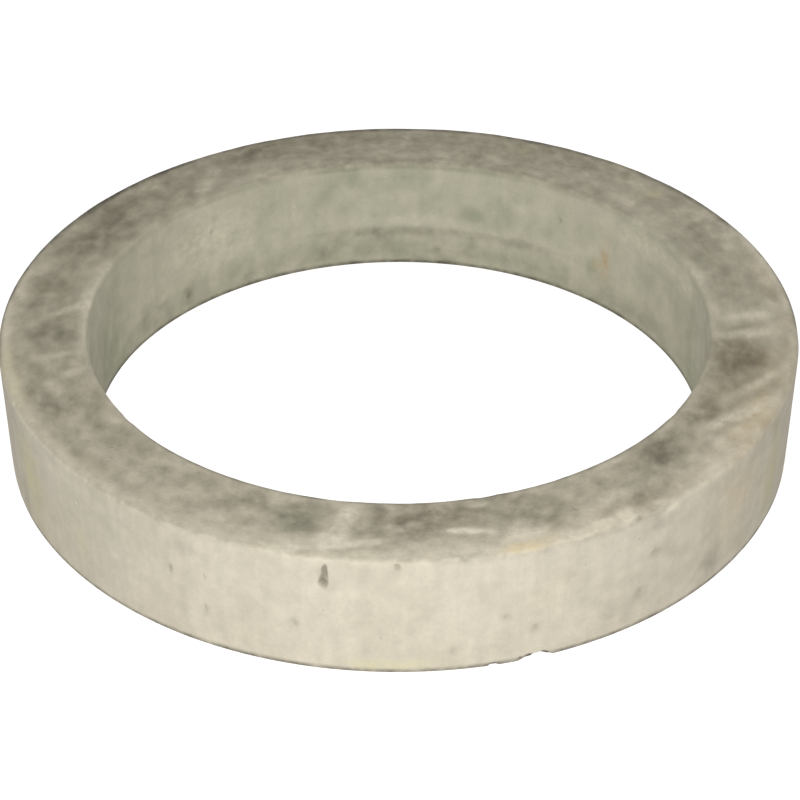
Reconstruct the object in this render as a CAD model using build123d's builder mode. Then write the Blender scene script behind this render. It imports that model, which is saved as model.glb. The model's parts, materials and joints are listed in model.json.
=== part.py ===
"""Precast concrete top ring for the neck of a manhole or well, cast as one piece.

Millimetres, +Z up. The origin is on the ring's axis, in the plane of the bottom face.
"""

import os

from build123d import *

# Driving dimensions
bore_diameter = 600.0  # clear opening through the ring
wall_thickness = 85.0  # at the top, where the ring is widest
height = 125.0
outer_draft = 2.0  # how far the outside comes in, on the radius, from top to bottom
top_arris_radius = 5.0  # hand-trowelled edges of the upper face
bottom_arris_radius = 3.0  # edges formed by the mould's pallet

# Radii of the section's four corners
bore_radius = bore_diameter / 2
outer_top_radius = bore_radius + wall_thickness
outer_bottom_radius = outer_top_radius - outer_draft

# The ring is its section turned about the axis: a straight bore, a drafted outside and level faces
with BuildPart() as top_ring:
    with BuildSketch(Plane.XZ) as section:
        with BuildLine():
            Polyline(
                (bore_radius, 0),
                (outer_bottom_radius, 0),
                (outer_top_radius, height),
                (bore_radius, height),
                close=True,
            )
        make_face()
        fillet(section.vertices().group_by(Axis.Y)[0], radius=bottom_arris_radius)
        fillet(section.vertices().group_by(Axis.Y)[-1], radius=top_arris_radius)
    revolve(axis=Axis.Z)

top_ring.part.label = "top_ring"

os.makedirs("parts", exist_ok=True)
export_step(top_ring.part, "parts/top_ring.step")
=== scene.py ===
"""Looks of a precast concrete top ring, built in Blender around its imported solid.

Metres, +Z up, in the solid's own frame: the origin is on the ring's axis, in the plane of the bottom face.
Angles run round the axis from +X towards +Y, in degrees. The camera stands on -Y, so 270 degrees faces it.
"""

import itertools
import json
import logging
import math
from dataclasses import dataclass, field
from enum import Enum
from typing import Any

import bmesh
import bpy
import numpy as np
from mathutils import Matrix, Vector


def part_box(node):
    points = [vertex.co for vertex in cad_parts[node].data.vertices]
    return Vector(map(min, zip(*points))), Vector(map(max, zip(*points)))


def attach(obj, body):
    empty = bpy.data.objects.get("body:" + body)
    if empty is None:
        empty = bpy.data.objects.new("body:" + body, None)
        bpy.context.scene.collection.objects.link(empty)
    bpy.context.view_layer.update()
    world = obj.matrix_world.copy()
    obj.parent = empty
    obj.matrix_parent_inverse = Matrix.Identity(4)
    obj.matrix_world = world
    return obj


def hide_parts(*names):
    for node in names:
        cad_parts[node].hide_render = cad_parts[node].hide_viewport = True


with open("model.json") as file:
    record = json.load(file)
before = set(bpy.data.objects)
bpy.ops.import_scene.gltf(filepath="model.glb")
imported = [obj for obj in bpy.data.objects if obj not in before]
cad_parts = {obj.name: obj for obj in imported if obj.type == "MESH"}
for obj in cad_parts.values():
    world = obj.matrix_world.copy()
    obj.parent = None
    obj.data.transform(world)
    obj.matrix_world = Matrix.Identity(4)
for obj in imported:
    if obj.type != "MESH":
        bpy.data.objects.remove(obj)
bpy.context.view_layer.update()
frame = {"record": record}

MM = 0.001
NODE = "top_ring"
BODY = "root"
LOG = logging.getLogger(NODE)


class Face(Enum):
    """The faces of the ring that carry marks."""

    OUTER = "outer wall"
    TOP = "top face"
    BORE = "bore"


# Short names for the lists of marks below
OUTER, TOP, BORE = Face


class Arris(Enum):
    """The four rounded edges of the section."""

    FOOT_OUTER = "foot of the outer wall"
    TOP_OUTER = "outer edge of the top face"
    TOP_INNER = "inner edge of the top face"
    FOOT_INNER = "foot of the bore"


@dataclass(frozen=True)
class Mark:
    """A stain or scuff: an ellipse that fades at its rim.

    Attributes:
        face: the face it lies on.
        angle: where its middle is round the axis, in degrees.
        place: its middle's radius on the top face, or height on a wall, in millimetres.
        length: its size along the turn, in millimetres.
        width: its size across that, in millimetres.
        strength: how full it is in the middle, where 1 is full.
        lean: how far its length is turned towards the outside or the top, in degrees.
        run: how far the ellipse is drawn out along the turn, into a band, in millimetres.
    """

    face: Face
    angle: float
    place: float
    length: float
    width: float
    strength: float
    lean: float = 0.0
    run: float = 0.0


@dataclass(frozen=True)
class Blowhole:
    """A hollow that an air bubble left against the mould.

    Attributes:
        face: the face it opens on.
        angle: where its middle is round the axis, in degrees.
        place: its middle's radius on the top face, or height on a wall, in millimetres.
        length: its size along the turn, in millimetres.
        width: its size across that, in millimetres.
        depth: how deep it goes, in millimetres.
    """

    face: Face
    angle: float
    place: float
    length: float
    width: float
    depth: float


@dataclass(frozen=True)
class Chip:
    """A place where an edge is knocked off.

    Attributes:
        arris: the edge it is on.
        angle: where its middle is round the axis, in degrees.
        length: its size along the edge, in millimetres.
        reach: how far it spreads to each side of the edge, in millimetres.
        depth: how deep it bites, in millimetres.
    """

    arris: Arris
    angle: float
    length: float
    reach: float
    depth: float


# Hollows against the mould: the ones that face the camera, then the far side's, the bore's and the top's
BLOWHOLES: tuple[Blowhole, ...] = (
    Blowhole(OUTER, 260.3, 98, 8.5, 17, 4.0),
    Blowhole(OUTER, 260.6, 109, 6.0, 21, 3.2),
    Blowhole(OUTER, 269.8, 118, 6.0, 10, 1.8),
    Blowhole(OUTER, 238.8, 73, 6.5, 13, 1.1),
    Blowhole(OUTER, 244.0, 77, 4.5, 8, 0.8),
    Blowhole(OUTER, 256.5, 48, 6.0, 10, 0.6),
    Blowhole(OUTER, 243.9, 42, 4.5, 12, 0.9),
    Blowhole(OUTER, 276.9, 24, 7.0, 9, 0.3),
    Blowhole(OUTER, 283.7, 54, 7.0, 8, 0.4),
    Blowhole(OUTER, 287.8, 36, 7.0, 9, 0.6),
    Blowhole(OUTER, 303.5, 41, 8.0, 10, 0.6),
    Blowhole(OUTER, 305.5, 77, 8.0, 10, 0.5),
    Blowhole(OUTER, 222.0, 91, 5.0, 8, 0.8),
    Blowhole(OUTER, 8.0, 72, 6.0, 8, 1.5),
    Blowhole(OUTER, 21.0, 38, 5.0, 7, 1.3),
    Blowhole(OUTER, 37.0, 96, 7.0, 10, 2.0),
    Blowhole(OUTER, 52.5, 54, 5.0, 6, 1.2),
    Blowhole(OUTER, 66.0, 83, 4.5, 7, 1.1),
    Blowhole(OUTER, 79.0, 30, 7.0, 9, 1.8),
    Blowhole(OUTER, 88.0, 108, 5.0, 12, 2.0),
    Blowhole(OUTER, 103.0, 61, 6.0, 7, 1.5),
    Blowhole(OUTER, 118.5, 90, 5.0, 7, 1.2),
    Blowhole(OUTER, 131.0, 44, 7.0, 8, 1.7),
    Blowhole(OUTER, 147.0, 78, 4.5, 6, 1.1),
    Blowhole(OUTER, 163.0, 25, 6.0, 9, 1.5),
    Blowhole(OUTER, 178.0, 101, 5.0, 9, 1.6),
    Blowhole(OUTER, 349.0, 57, 5.5, 8, 1.4),
    Blowhole(BORE, 131.0, 83, 6.0, 10, 1.0),
    Blowhole(BORE, 55.0, 85, 6.0, 8, 0.8),
    Blowhole(BORE, 138.0, 20, 7.0, 10, 1.0),
    Blowhole(BORE, 106.0, 18, 6.0, 8, 0.9),
    Blowhole(BORE, 205.0, 64, 6.0, 8, 1.5),
    Blowhole(BORE, 231.0, 95, 5.0, 7, 1.3),
    Blowhole(BORE, 258.0, 33, 6.0, 7, 1.5),
    Blowhole(BORE, 284.0, 77, 5.0, 9, 1.5),
    Blowhole(BORE, 311.0, 48, 6.0, 7, 1.3),
    Blowhole(BORE, 337.0, 88, 5.0, 7, 1.2),
    Blowhole(TOP, 223.0, 352, 4.0, 5, 0.9),
    Blowhole(TOP, 296.0, 347, 4.0, 5, 0.9),
    Blowhole(TOP, 341.0, 326, 5.0, 5, 1.0),
    Blowhole(TOP, 59.0, 341, 5.0, 4, 0.9),
    Blowhole(TOP, 151.0, 331, 4.0, 5, 0.9),
)

# Knocks along the edges, mostly at the foot, where the ring was set down
CHIPS: tuple[Chip, ...] = (
    Chip(Arris.FOOT_OUTER, 287.6, 34, 8, 2.6),
    Chip(Arris.FOOT_OUTER, 289.0, 22, 8, 2.6),
    Chip(Arris.FOOT_OUTER, 282.3, 12, 5, 1.4),
    Chip(Arris.FOOT_OUTER, 35.0, 28, 8, 2.0),
    Chip(Arris.FOOT_OUTER, 110.0, 16, 6, 1.6),
    Chip(Arris.FOOT_OUTER, 151.0, 40, 7, 1.8),
    Chip(Arris.TOP_OUTER, 308.3, 18, 8, 0.5),
    Chip(Arris.TOP_OUTER, 299.0, 30, 8, 0.6),
    Chip(Arris.TOP_OUTER, 203.0, 12, 6, 0.8),
    Chip(Arris.TOP_INNER, 284.0, 26, 7, 0.5),
    Chip(Arris.TOP_INNER, 215.0, 22, 7, 0.5),
    Chip(Arris.TOP_INNER, 326.0, 24, 7, 0.5),
    Chip(Arris.TOP_INNER, 100.0, 20, 6, 0.8),
    Chip(Arris.FOOT_INNER, 300.0, 18, 6, 1.0),
)

# Thin brown-grey film that weather has left on the trowelled face, thickest at the far side
FILM: tuple[Mark, ...] = (
    Mark(TOP, 270.0, 322, 400, 90, 0.38, run=1000),
    Mark(TOP, 228.0, 374, 240, 60, 0.28, run=440),
    Mark(TOP, 349.0, 370, 130, 50, 0.30, run=150),
    Mark(TOP, 177.0, 366, 90, 50, 0.28),
    Mark(TOP, 308.0, 369, 130, 34, 0.26, run=60),
    # Along the near outer edge: painted shade over the edge's highlight
    Mark(TOP, 270.0, 384, 60, 12, 0.10, run=1500),
    Mark(TOP, 138.0, 304, 120, 26, 0.12, run=160),
    Mark(TOP, 93.0, 360, 340, 170, 0.54, run=440),
    Mark(TOP, 87.0, 302, 140, 34, 0.28, run=130),
    Mark(TOP, 142.0, 313, 160, 46, 0.22, run=90),
    Mark(TOP, 4.0, 343, 40, 30, 0.16),
    Mark(TOP, 16.0, 368, 60, 30, 0.16),
    Mark(TOP, 352.0, 316, 40, 20, 0.18),
    Mark(TOP, 156.0, 352, 190, 90, 0.52, run=60),
    Mark(TOP, 184.0, 340, 120, 80, 0.30),
    Mark(TOP, 173.0, 350, 80, 50, 0.34),
    Mark(TOP, 22.0, 344, 170, 90, 0.28, run=110),
    Mark(TOP, 21.0, 318, 50, 26, 0.18),
    Mark(TOP, 342.0, 336, 150, 76, 0.22, run=60),
    Mark(TOP, 314.0, 335, 120, 76, 0.26),
    Mark(TOP, 286.0, 320, 110, 50, 0.20),
    Mark(TOP, 274.0, 345, 110, 40, 0.18, run=50),
    Mark(TOP, 247.0, 340, 70, 46, 0.12),
    Mark(TOP, 201.0, 358, 120, 44, 0.18, run=50),
    Mark(TOP, 216.0, 330, 150, 60, 0.12, run=110),
    Mark(TOP, 280.0, 343, 60, 30, 0.20),
    Mark(TOP, 280.0, 362, 80, 24, 0.14),
    Mark(TOP, 292.0, 352, 60, 46, 0.34),
    Mark(TOP, 233.0, 355, 100, 36, 0.16),
    Mark(TOP, 219.0, 366, 70, 26, 0.26),
    Mark(TOP, 76.0, 318, 40, 20, 0.14),
    Mark(TOP, 101.0, 318, 40, 20, 0.14),
    Mark(TOP, 172.0, 348, 70, 50, 0.16),
    Mark(TOP, 48.0, 306, 100, 24, 0.26, run=60),
    Mark(TOP, 346.0, 338, 90, 62, 0.25),
    Mark(TOP, 329.0, 345, 50, 24, 0.28),
    Mark(TOP, 273.0, 316, 110, 44, 0.10),
    Mark(TOP, 100.0, 362, 80, 50, 0.16),
    Mark(TOP, 52.0, 316, 70, 24, 0.12),
    Mark(TOP, 27.0, 335, 90, 90, 0.16),
    Mark(TOP, 114.0, 368, 140, 60, 0.22),
    Mark(TOP, 307.0, 368, 60, 34, 0.26),
    Mark(TOP, 40.0, 372, 110, 36, 0.15),
)

# Dark dirt in the pores of the trowelled face and the walls, and round the blowholes
GRIME: tuple[Mark, ...] = (
    Mark(TOP, 268.0, 326, 240, 74, 0.30, run=880),
    Mark(TOP, 299.0, 342, 50, 24, 0.10),
    Mark(TOP, 208.0, 350, 70, 50, 0.40),
    Mark(TOP, 197.0, 336, 60, 44, 0.22),
    Mark(TOP, 219.0, 330, 50, 44, 0.24),
    Mark(TOP, 187.0, 326, 74, 54, 0.44),
    Mark(TOP, 184.0, 350, 50, 34, 0.16),
    Mark(TOP, 203.0, 359, 56, 32, 0.44),
    Mark(TOP, 206.0, 343, 40, 40, 0.30),
    Mark(TOP, 229.0, 371, 34, 14, 0.35),
    Mark(TOP, 245.0, 338, 40, 24, 0.14),
    Mark(TOP, 246.5, 323, 40, 26, 0.34),
    Mark(TOP, 254.2, 337, 56, 50, 0.70),
    Mark(TOP, 271.0, 329, 90, 50, 0.64),
    Mark(TOP, 270.0, 310, 110, 30, 0.32),
    Mark(TOP, 286.0, 312, 110, 30, 0.32),
    Mark(TOP, 277.0, 322, 64, 26, 0.35),
    Mark(TOP, 273.0, 347, 50, 18, 0.35),
    Mark(TOP, 288.5, 336, 50, 44, 0.65),
    Mark(TOP, 301.5, 323, 30, 16, 0.22),
    Mark(TOP, 302.4, 384, 10, 10, 0.80),
    Mark(TOP, 307.0, 362, 56, 30, 0.38),
    Mark(TOP, 306.5, 358, 40, 22, 0.26),
    Mark(TOP, 315.0, 325, 50, 54, 0.85),
    Mark(TOP, 313.0, 350, 40, 26, 0.26),
    Mark(TOP, 322.0, 350, 24, 16, 0.30),
    Mark(TOP, 328.0, 323, 50, 36, 0.84),
    Mark(TOP, 327.5, 355, 60, 14, 0.50, 23.0),
    Mark(TOP, 333.5, 350, 34, 14, 0.45, 25.0),
    Mark(TOP, 338.5, 360, 40, 13, 0.45, 26.0),
    Mark(TOP, 346.0, 329, 84, 60, 0.38),
    Mark(TOP, 349.0, 327, 60, 50, 0.22),
    Mark(TOP, 348.0, 356, 46, 26, 0.26),
    Mark(TOP, 148.0, 336, 60, 40, 0.30),
    Mark(TOP, 24.0, 334, 60, 34, 0.54),
    Mark(TOP, 27.0, 351, 54, 38, 0.50),
    Mark(TOP, 64.0, 365, 60, 20, 0.28),
    Mark(TOP, 76.0, 334, 56, 50, 0.32),
    Mark(TOP, 104.0, 348, 40, 50, 0.28),
    Mark(TOP, 116.0, 360, 60, 34, 0.62),
    Mark(TOP, 121.0, 322, 30, 30, 0.32),
    Mark(TOP, 147.0, 348, 76, 46, 0.38),
    Mark(TOP, 154.5, 342, 68, 46, 0.56),
    Mark(TOP, 164.0, 340, 56, 44, 0.28),
    Mark(TOP, 174.0, 350, 60, 40, 0.16),
    Mark(BORE, 138.0, 20, 20, 26, 0.55),
    Mark(BORE, 106.0, 18, 18, 22, 0.45),
    Mark(BORE, 97.0, 16, 26, 26, 0.34),
    Mark(BORE, 123.0, 12, 18, 16, 0.30),
    Mark(BORE, 81.0, 22, 26, 24, 0.42),
    Mark(BORE, 75.0, 20, 24, 24, 0.40),
    Mark(BORE, 94.0, 34, 26, 22, 0.42),
    Mark(BORE, 103.0, 30, 26, 26, 0.42),
    Mark(BORE, 131.0, 83, 14, 20, 0.40),
    Mark(BORE, 55.0, 85, 14, 20, 0.34),
    Mark(BORE, 84.0, 16, 200, 62, 0.40, run=560),
    Mark(OUTER, 260.4, 102, 14, 38, 0.50),
    Mark(OUTER, 269.8, 117, 14, 18, 0.42),
    Mark(OUTER, 256.5, 48, 14, 18, 0.42),
    Mark(OUTER, 276.9, 24, 16, 18, 0.40),
    Mark(OUTER, 283.7, 54, 16, 16, 0.38),
    Mark(OUTER, 281.0, 86, 18, 22, 0.26),
    Mark(OUTER, 287.8, 36, 18, 18, 0.38),
    Mark(OUTER, 303.5, 40, 22, 24, 0.36),
    Mark(OUTER, 305.5, 77, 20, 22, 0.34),
    Mark(OUTER, 238.8, 73, 14, 26, 0.30),
    Mark(OUTER, 244.0, 42, 14, 26, 0.30),
    Mark(OUTER, 244.0, 77, 12, 16, 0.26),
    Mark(OUTER, 317.0, 26, 50, 40, 0.56),
    Mark(OUTER, 301.0, 24, 60, 30, 0.26),
    Mark(OUTER, 311.0, 70, 150, 170, 0.22),
    Mark(OUTER, 228.0, 80, 80, 150, 0.20),
    Mark(OUTER, 204.0, 25, 34, 60, 0.40),
    Mark(OUTER, 243.0, 104, 56, 44, 0.38),
    Mark(OUTER, 328.0, 112, 120, 44, 0.36),
    Mark(OUTER, 305.0, 112, 60, 36, 0.34),
    Mark(OUTER, 324.0, 26, 50, 50, 0.26),
    Mark(OUTER, 333.0, 50, 60, 120, 0.20),
    Mark(OUTER, 299.0, 26, 50, 40, 0.30),
    Mark(OUTER, 308.0, 66, 50, 40, 0.22),
    Mark(BORE, 74.0, 70, 70, 50, 0.28),
    Mark(BORE, 110.0, 106, 50, 30, 0.22),
    Mark(BORE, 151.0, 22, 90, 44, 0.42),
)

# Thin dark lines along the edges, which are painted shade, and along the lift line, which is dirt and a
# painted shadow line
EDGE_SHADE_AND_DIRT: tuple[Mark, ...] = (
    # The far outer edge, which turns away from the light: painted shade
    Mark(TOP, 38.0, 382.0, 70, 15, 0.84, run=130),
    Mark(TOP, 64.0, 381.0, 60, 17, 0.86, run=100),
    Mark(TOP, 89.0, 381.0, 70, 17, 0.92, run=120),
    Mark(TOP, 112.0, 381.5, 60, 16, 0.80, run=90),
    Mark(TOP, 142.0, 381.5, 80, 17, 1.05, run=180),
    Mark(TOP, 167.0, 383.5, 60, 13, 0.80, run=70),
    Mark(TOP, 182.0, 384.5, 60, 9, 0.60, run=100),
    Mark(TOP, 8.0, 384.0, 60, 10, 0.60, run=120),
    # The near outer edge and the top of the wall under it: painted shade over the edge's highlight
    Mark(TOP, 272.0, 383, 60, 9, 0.28, run=130),
    Mark(TOP, 242.0, 383, 60, 9, 0.32, run=180),
    Mark(OUTER, 292.0, 122, 100, 16, 0.38, run=170),
    Mark(OUTER, 232.0, 122, 100, 16, 0.24, run=200),
    # The near inner edge, which turns away from the light: painted shade
    Mark(TOP, 238.0, 302, 60, 10, 0.70, run=160),
    Mark(TOP, 293.0, 302, 60, 10, 0.70, run=380),
    # The feet of the outer wall and of the bore, where the ring meets the floor: painted shade
    Mark(OUTER, 270.0, 2, 60, 9, 0.75, run=2400),
    Mark(BORE, 90.0, 2, 60, 10, 0.80, run=900),
    # The lift line: dirt in its groove and a painted shadow line
    Mark(BORE, 80.0, 41, 110, 17, 0.44, run=170),
)

# Pale places: laitance on the margins, scrapes, and drag marks across the trowelled face
SCUFFS: tuple[Mark, ...] = (
    Mark(TOP, 260.0, 379, 160, 28, 0.36, run=400),
    Mark(TOP, 214.0, 380, 90, 22, 0.32, run=80),
    Mark(TOP, 261.6, 338, 90, 28, 0.55, -80.0),
    Mark(TOP, 262.6, 320, 24, 26, 0.42),
    Mark(TOP, 260.5, 358, 36, 16, 0.50),
    Mark(TOP, 261.8, 366, 106, 12, 0.85, -14.5),
    Mark(TOP, 279.6, 348, 50, 13, 1.00, 8.0),
    Mark(TOP, 278.8, 346, 28, 9, 0.60),
    Mark(TOP, 283.0, 355, 12, 18, 0.50),
    Mark(TOP, 282.8, 314, 30, 12, 0.55),
    Mark(TOP, 295.0, 319, 34, 14, 0.35, 15.0),
    Mark(TOP, 295.5, 378, 60, 14, 0.70, -4.0),
    Mark(TOP, 297.4, 375, 32, 11, 0.80),
    Mark(TOP, 300.9, 373, 26, 15, 1.00, -20.0),
    Mark(TOP, 301.5, 380, 18, 9, 0.80),
    Mark(TOP, 326.0, 377, 80, 24, 0.26, run=110),
    Mark(TOP, 256.0, 368, 60, 18, 0.30),
    Mark(TOP, 306.6, 377, 20, 12, 0.60, 20.0),
    Mark(OUTER, 308.0, 119, 26, 13, 0.90, 8.0),
    Mark(TOP, 307.5, 309, 52, 10, 0.55),
    Mark(TOP, 311.5, 381, 44, 15, 0.50, 10.0),
    Mark(TOP, 316.5, 375, 50, 16, 0.45),
    Mark(TOP, 326.0, 342, 24, 18, 0.45),
    Mark(TOP, 329.0, 348, 70, 15, 0.42, 30.0),
    Mark(TOP, 332.8, 360, 110, 28, 0.58, 27.0),
    Mark(TOP, 341.0, 358, 110, 16, 0.62, 28.0),
    Mark(TOP, 353.9, 340, 84, 24, 0.64, 75.0),
    Mark(TOP, 359.3, 343, 90, 28, 0.70, 77.0),
    Mark(TOP, 2.6, 335, 50, 18, 0.40, 51.0),
    Mark(TOP, 12.0, 379, 60, 14, 0.40, run=140),
    Mark(TOP, 8.0, 307, 60, 14, 0.30, run=60),
    Mark(TOP, 76.0, 369, 50, 18, 0.22),
    Mark(TOP, 88.0, 318, 50, 18, 0.34),
    Mark(TOP, 16.0, 343, 40, 30, 0.13),
    Mark(TOP, 52.0, 341, 54, 34, 0.20),
    Mark(TOP, 304.0, 317, 40, 18, 0.26),
    Mark(TOP, 169.0, 316, 90, 24, 0.27),
    Mark(OUTER, 213.0, 26, 60, 40, 0.32),
    Mark(OUTER, 236.0, 26, 50, 36, 0.15),
    Mark(BORE, 38.0, 106, 50, 30, 0.27),
    Mark(BORE, 14.0, 106, 60, 36, 0.34),
    Mark(TOP, 128.6, 326, 56, 24, 0.42, -33.0),
    Mark(TOP, 125.0, 347, 30, 34, 0.38),
    Mark(TOP, 122.0, 312, 90, 36, 0.25),
    Mark(TOP, 158.0, 303, 90, 15, 0.20, run=80),
    Mark(TOP, 180.0, 304, 60, 17, 0.48, run=60),
    Mark(TOP, 178.8, 326, 66, 16, 0.55, 56.0),
    Mark(TOP, 190.0, 379, 60, 15, 0.42, run=150),
    Mark(TOP, 192.4, 330, 56, 17, 0.46, 80.0),
    Mark(TOP, 198.3, 322, 44, 16, 0.46, 75.0),
    Mark(TOP, 200.1, 344, 18, 20, 0.50),
    Mark(TOP, 215.0, 313, 16, 14, 0.45),
    Mark(TOP, 232.0, 316, 40, 16, 0.40),
    Mark(TOP, 238.5, 335, 12, 18, 0.45),
    Mark(BORE, 88.0, 55, 160, 20, 0.34),
    Mark(BORE, 57.0, 110, 80, 18, 0.22),
    Mark(BORE, 25.0, 108, 120, 44, 0.40, run=50),
    Mark(BORE, 131.0, 78, 150, 104, 0.48),
    Mark(OUTER, 272.0, 66, 230, 150, 0.24),
    Mark(BORE, 112.0, 80, 7, 46, 0.40),
)

# Green growth in the damp of the bore
ALGAE: tuple[Mark, ...] = (
    Mark(BORE, 90.0, 16, 200, 50, 0.18, run=800),
    Mark(BORE, 82.0, 75, 300, 150, 0.16, run=160),
    Mark(BORE, 95.0, 104, 150, 36, 0.28),
    Mark(BORE, 72.0, 70, 70, 54, 0.26),
    Mark(BORE, 13.0, 62, 60, 110, 0.24),
    Mark(BORE, 128.0, 84, 150, 110, 0.18),
    Mark(OUTER, 229.0, 92, 180, 120, 0.27),
    Mark(BORE, 27.0, 80, 90, 90, 0.17),
    Mark(BORE, 47.0, 45, 16, 28, 0.34),
    Mark(BORE, 30.0, 18, 60, 26, 0.25),
    Mark(BORE, 166.0, 50, 90, 130, 0.30),
    Mark(BORE, 270.0, 18, 200, 46, 0.15, run=700),
    Mark(TOP, 254.6, 336, 56, 56, 0.55),
    Mark(TOP, 289.0, 340, 50, 30, 0.30),
    Mark(TOP, 186.0, 330, 60, 50, 0.30),
    Mark(TOP, 122.0, 315, 80, 50, 0.25),
    Mark(TOP, 26.0, 309, 100, 40, 0.30, run=130),
)

# Iron that has bled out of the mix, and brown dust on one side of the trowelled face
RUST: tuple[Mark, ...] = (
    Mark(BORE, 43.3, 58, 20, 60, 0.72),
    Mark(BORE, 46.0, 48, 18, 36, 0.42),
    Mark(BORE, 50.5, 36, 16, 40, 0.38),
    Mark(TOP, 340.0, 345, 180, 120, 0.22, run=80),
    Mark(TOP, 322.0, 371, 200, 44, 0.20, run=320),
    Mark(TOP, 274.0, 326, 120, 50, 0.16),
    Mark(OUTER, 324.0, 84, 120, 110, 0.30),
)

# Warm buff where the fines of the mix came up
BUFF: tuple[Mark, ...] = (
    Mark(TOP, 286.5, 379, 62, 18, 0.95),
    Mark(TOP, 332.0, 366, 110, 36, 0.45),
    Mark(TOP, 358.0, 374, 60, 22, 0.40),
    Mark(TOP, 10.0, 371, 110, 22, 0.30),
    Mark(OUTER, 289.0, 60, 60, 110, 0.18),
    Mark(OUTER, 322.0, 70, 100, 150, 0.28),
    Mark(OUTER, 88.0, 70, 240, 150, 0.30, run=300),
)

# Yellowish cast of lime that water has leached out. On the side walls it is also painted warm shade, where
# they turn away from the light
LIME_AND_WARM_SHADE: tuple[Mark, ...] = (
    # Left side wall: lime cast and painted warm shade
    Mark(OUTER, 208.0, 58, 70, 120, 0.60),
    Mark(OUTER, 222.0, 48, 24, 50, 0.40),
    Mark(OUTER, 236.0, 66, 90, 140, 0.16),
    Mark(OUTER, 269.0, 10, 120, 18, 0.62),
    # Right side wall: lime cast and painted warm shade
    Mark(OUTER, 334.0, 58, 56, 110, 0.64),
    Mark(TOP, 196.0, 378, 60, 20, 0.45, run=70),
    Mark(TOP, 41.0, 357, 26, 22, 0.50),
    Mark(TOP, 67.0, 357, 22, 22, 0.40),
)


def linear(hex_colour: str) -> tuple[float, float, float, float]:
    """Turns an sRGB hex colour such as "DED6C2" into a linear RGBA colour.

    Args:
        hex_colour: six hex digits.

    Returns:
        The linear red, green and blue, and an alpha of 1.
    """
    parts = [int(hex_colour[i : i + 2], 16) / 255 for i in (0, 2, 4)]
    red, green, blue = [c / 12.92 if c <= 0.04045 else ((c + 0.055) / 1.055) ** 2.4 for c in parts]
    return red, green, blue, 1.0


def smooth_step(x: np.ndarray) -> np.ndarray:
    """Returns 3t^2 - 2t^3, where t is x held between 0 and 1."""
    t = np.clip(x, 0.0, 1.0)
    return t * t * (3.0 - 2.0 * t)


def lattice_noise(points: np.ndarray, cell: float, seed: int) -> np.ndarray:
    """Smooth random values: seeded numbers on a cubic lattice, blended along each axis by a smooth step.

    Args:
        points: places, one in each row, in metres.
        cell: the lattice's spacing, in metres.
        seed: picks the random numbers.

    Returns:
        A value from 0 to 1 for each place.
    """
    period = 64
    table = np.random.default_rng(seed).random((period, period, period))
    scaled = points / cell
    low = np.floor(scaled).astype(int)
    blend = smooth_step(scaled - low)
    total = np.zeros(len(points))
    for corner in itertools.product((0, 1), repeat=3):
        x, y, z = ((low + corner) % period).T
        total += np.prod(np.where(corner, blend, 1.0 - blend), axis=1) * table[x, y, z]
    return total


def add_node(
    tree: bpy.types.NodeTree,
    kind: str,
    settings: dict[str, Any] | None = None,
    inputs: dict[int | str, Any] | None = None,
) -> bpy.types.Node:
    """Adds a node, sets its options, and links or fills its inputs.

    Args:
        tree: the node tree that it goes into.
        kind: the node's type name.
        settings: the node's own options.
        inputs: what goes into each input, by its place among those in use or its name. A node is linked by
            its first output in use, a socket is linked itself, and a value is set.

    Returns:
        The new node.
    """
    node = tree.nodes.new(kind)
    for name, value in (settings or {}).items():
        setattr(node, name, value)
    taken = [socket for socket in node.inputs if socket.enabled]
    for key, value in (inputs or {}).items():
        socket = taken[key] if isinstance(key, int) else next(s for s in taken if s.name == key)
        if isinstance(value, bpy.types.Node):
            value = next(output for output in value.outputs if output.enabled)
        if isinstance(value, bpy.types.NodeSocket):
            tree.links.new(value, socket)
        else:
            socket.default_value = value
    return node


@dataclass(frozen=True)
class Stain:
    """One kind of stain in the concrete's finish, some of which also holds painted shade.

    Attributes:
        mask: the mesh attribute that says where it lies, from 0 to 1.
        colour: its colour where it is full.
        grain: the size of the pores that break it up, in millimetres.
        spread: how much the pores push the mask up and down, as a share of it.
        low: the mask at which it starts to show.
        high: the mask at which it is full.
        drawn: whether its pores are drawn out, as by the trowel.
    """

    mask: str
    colour: str
    grain: float
    spread: float
    low: float
    high: float
    drawn: bool = True


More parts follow.
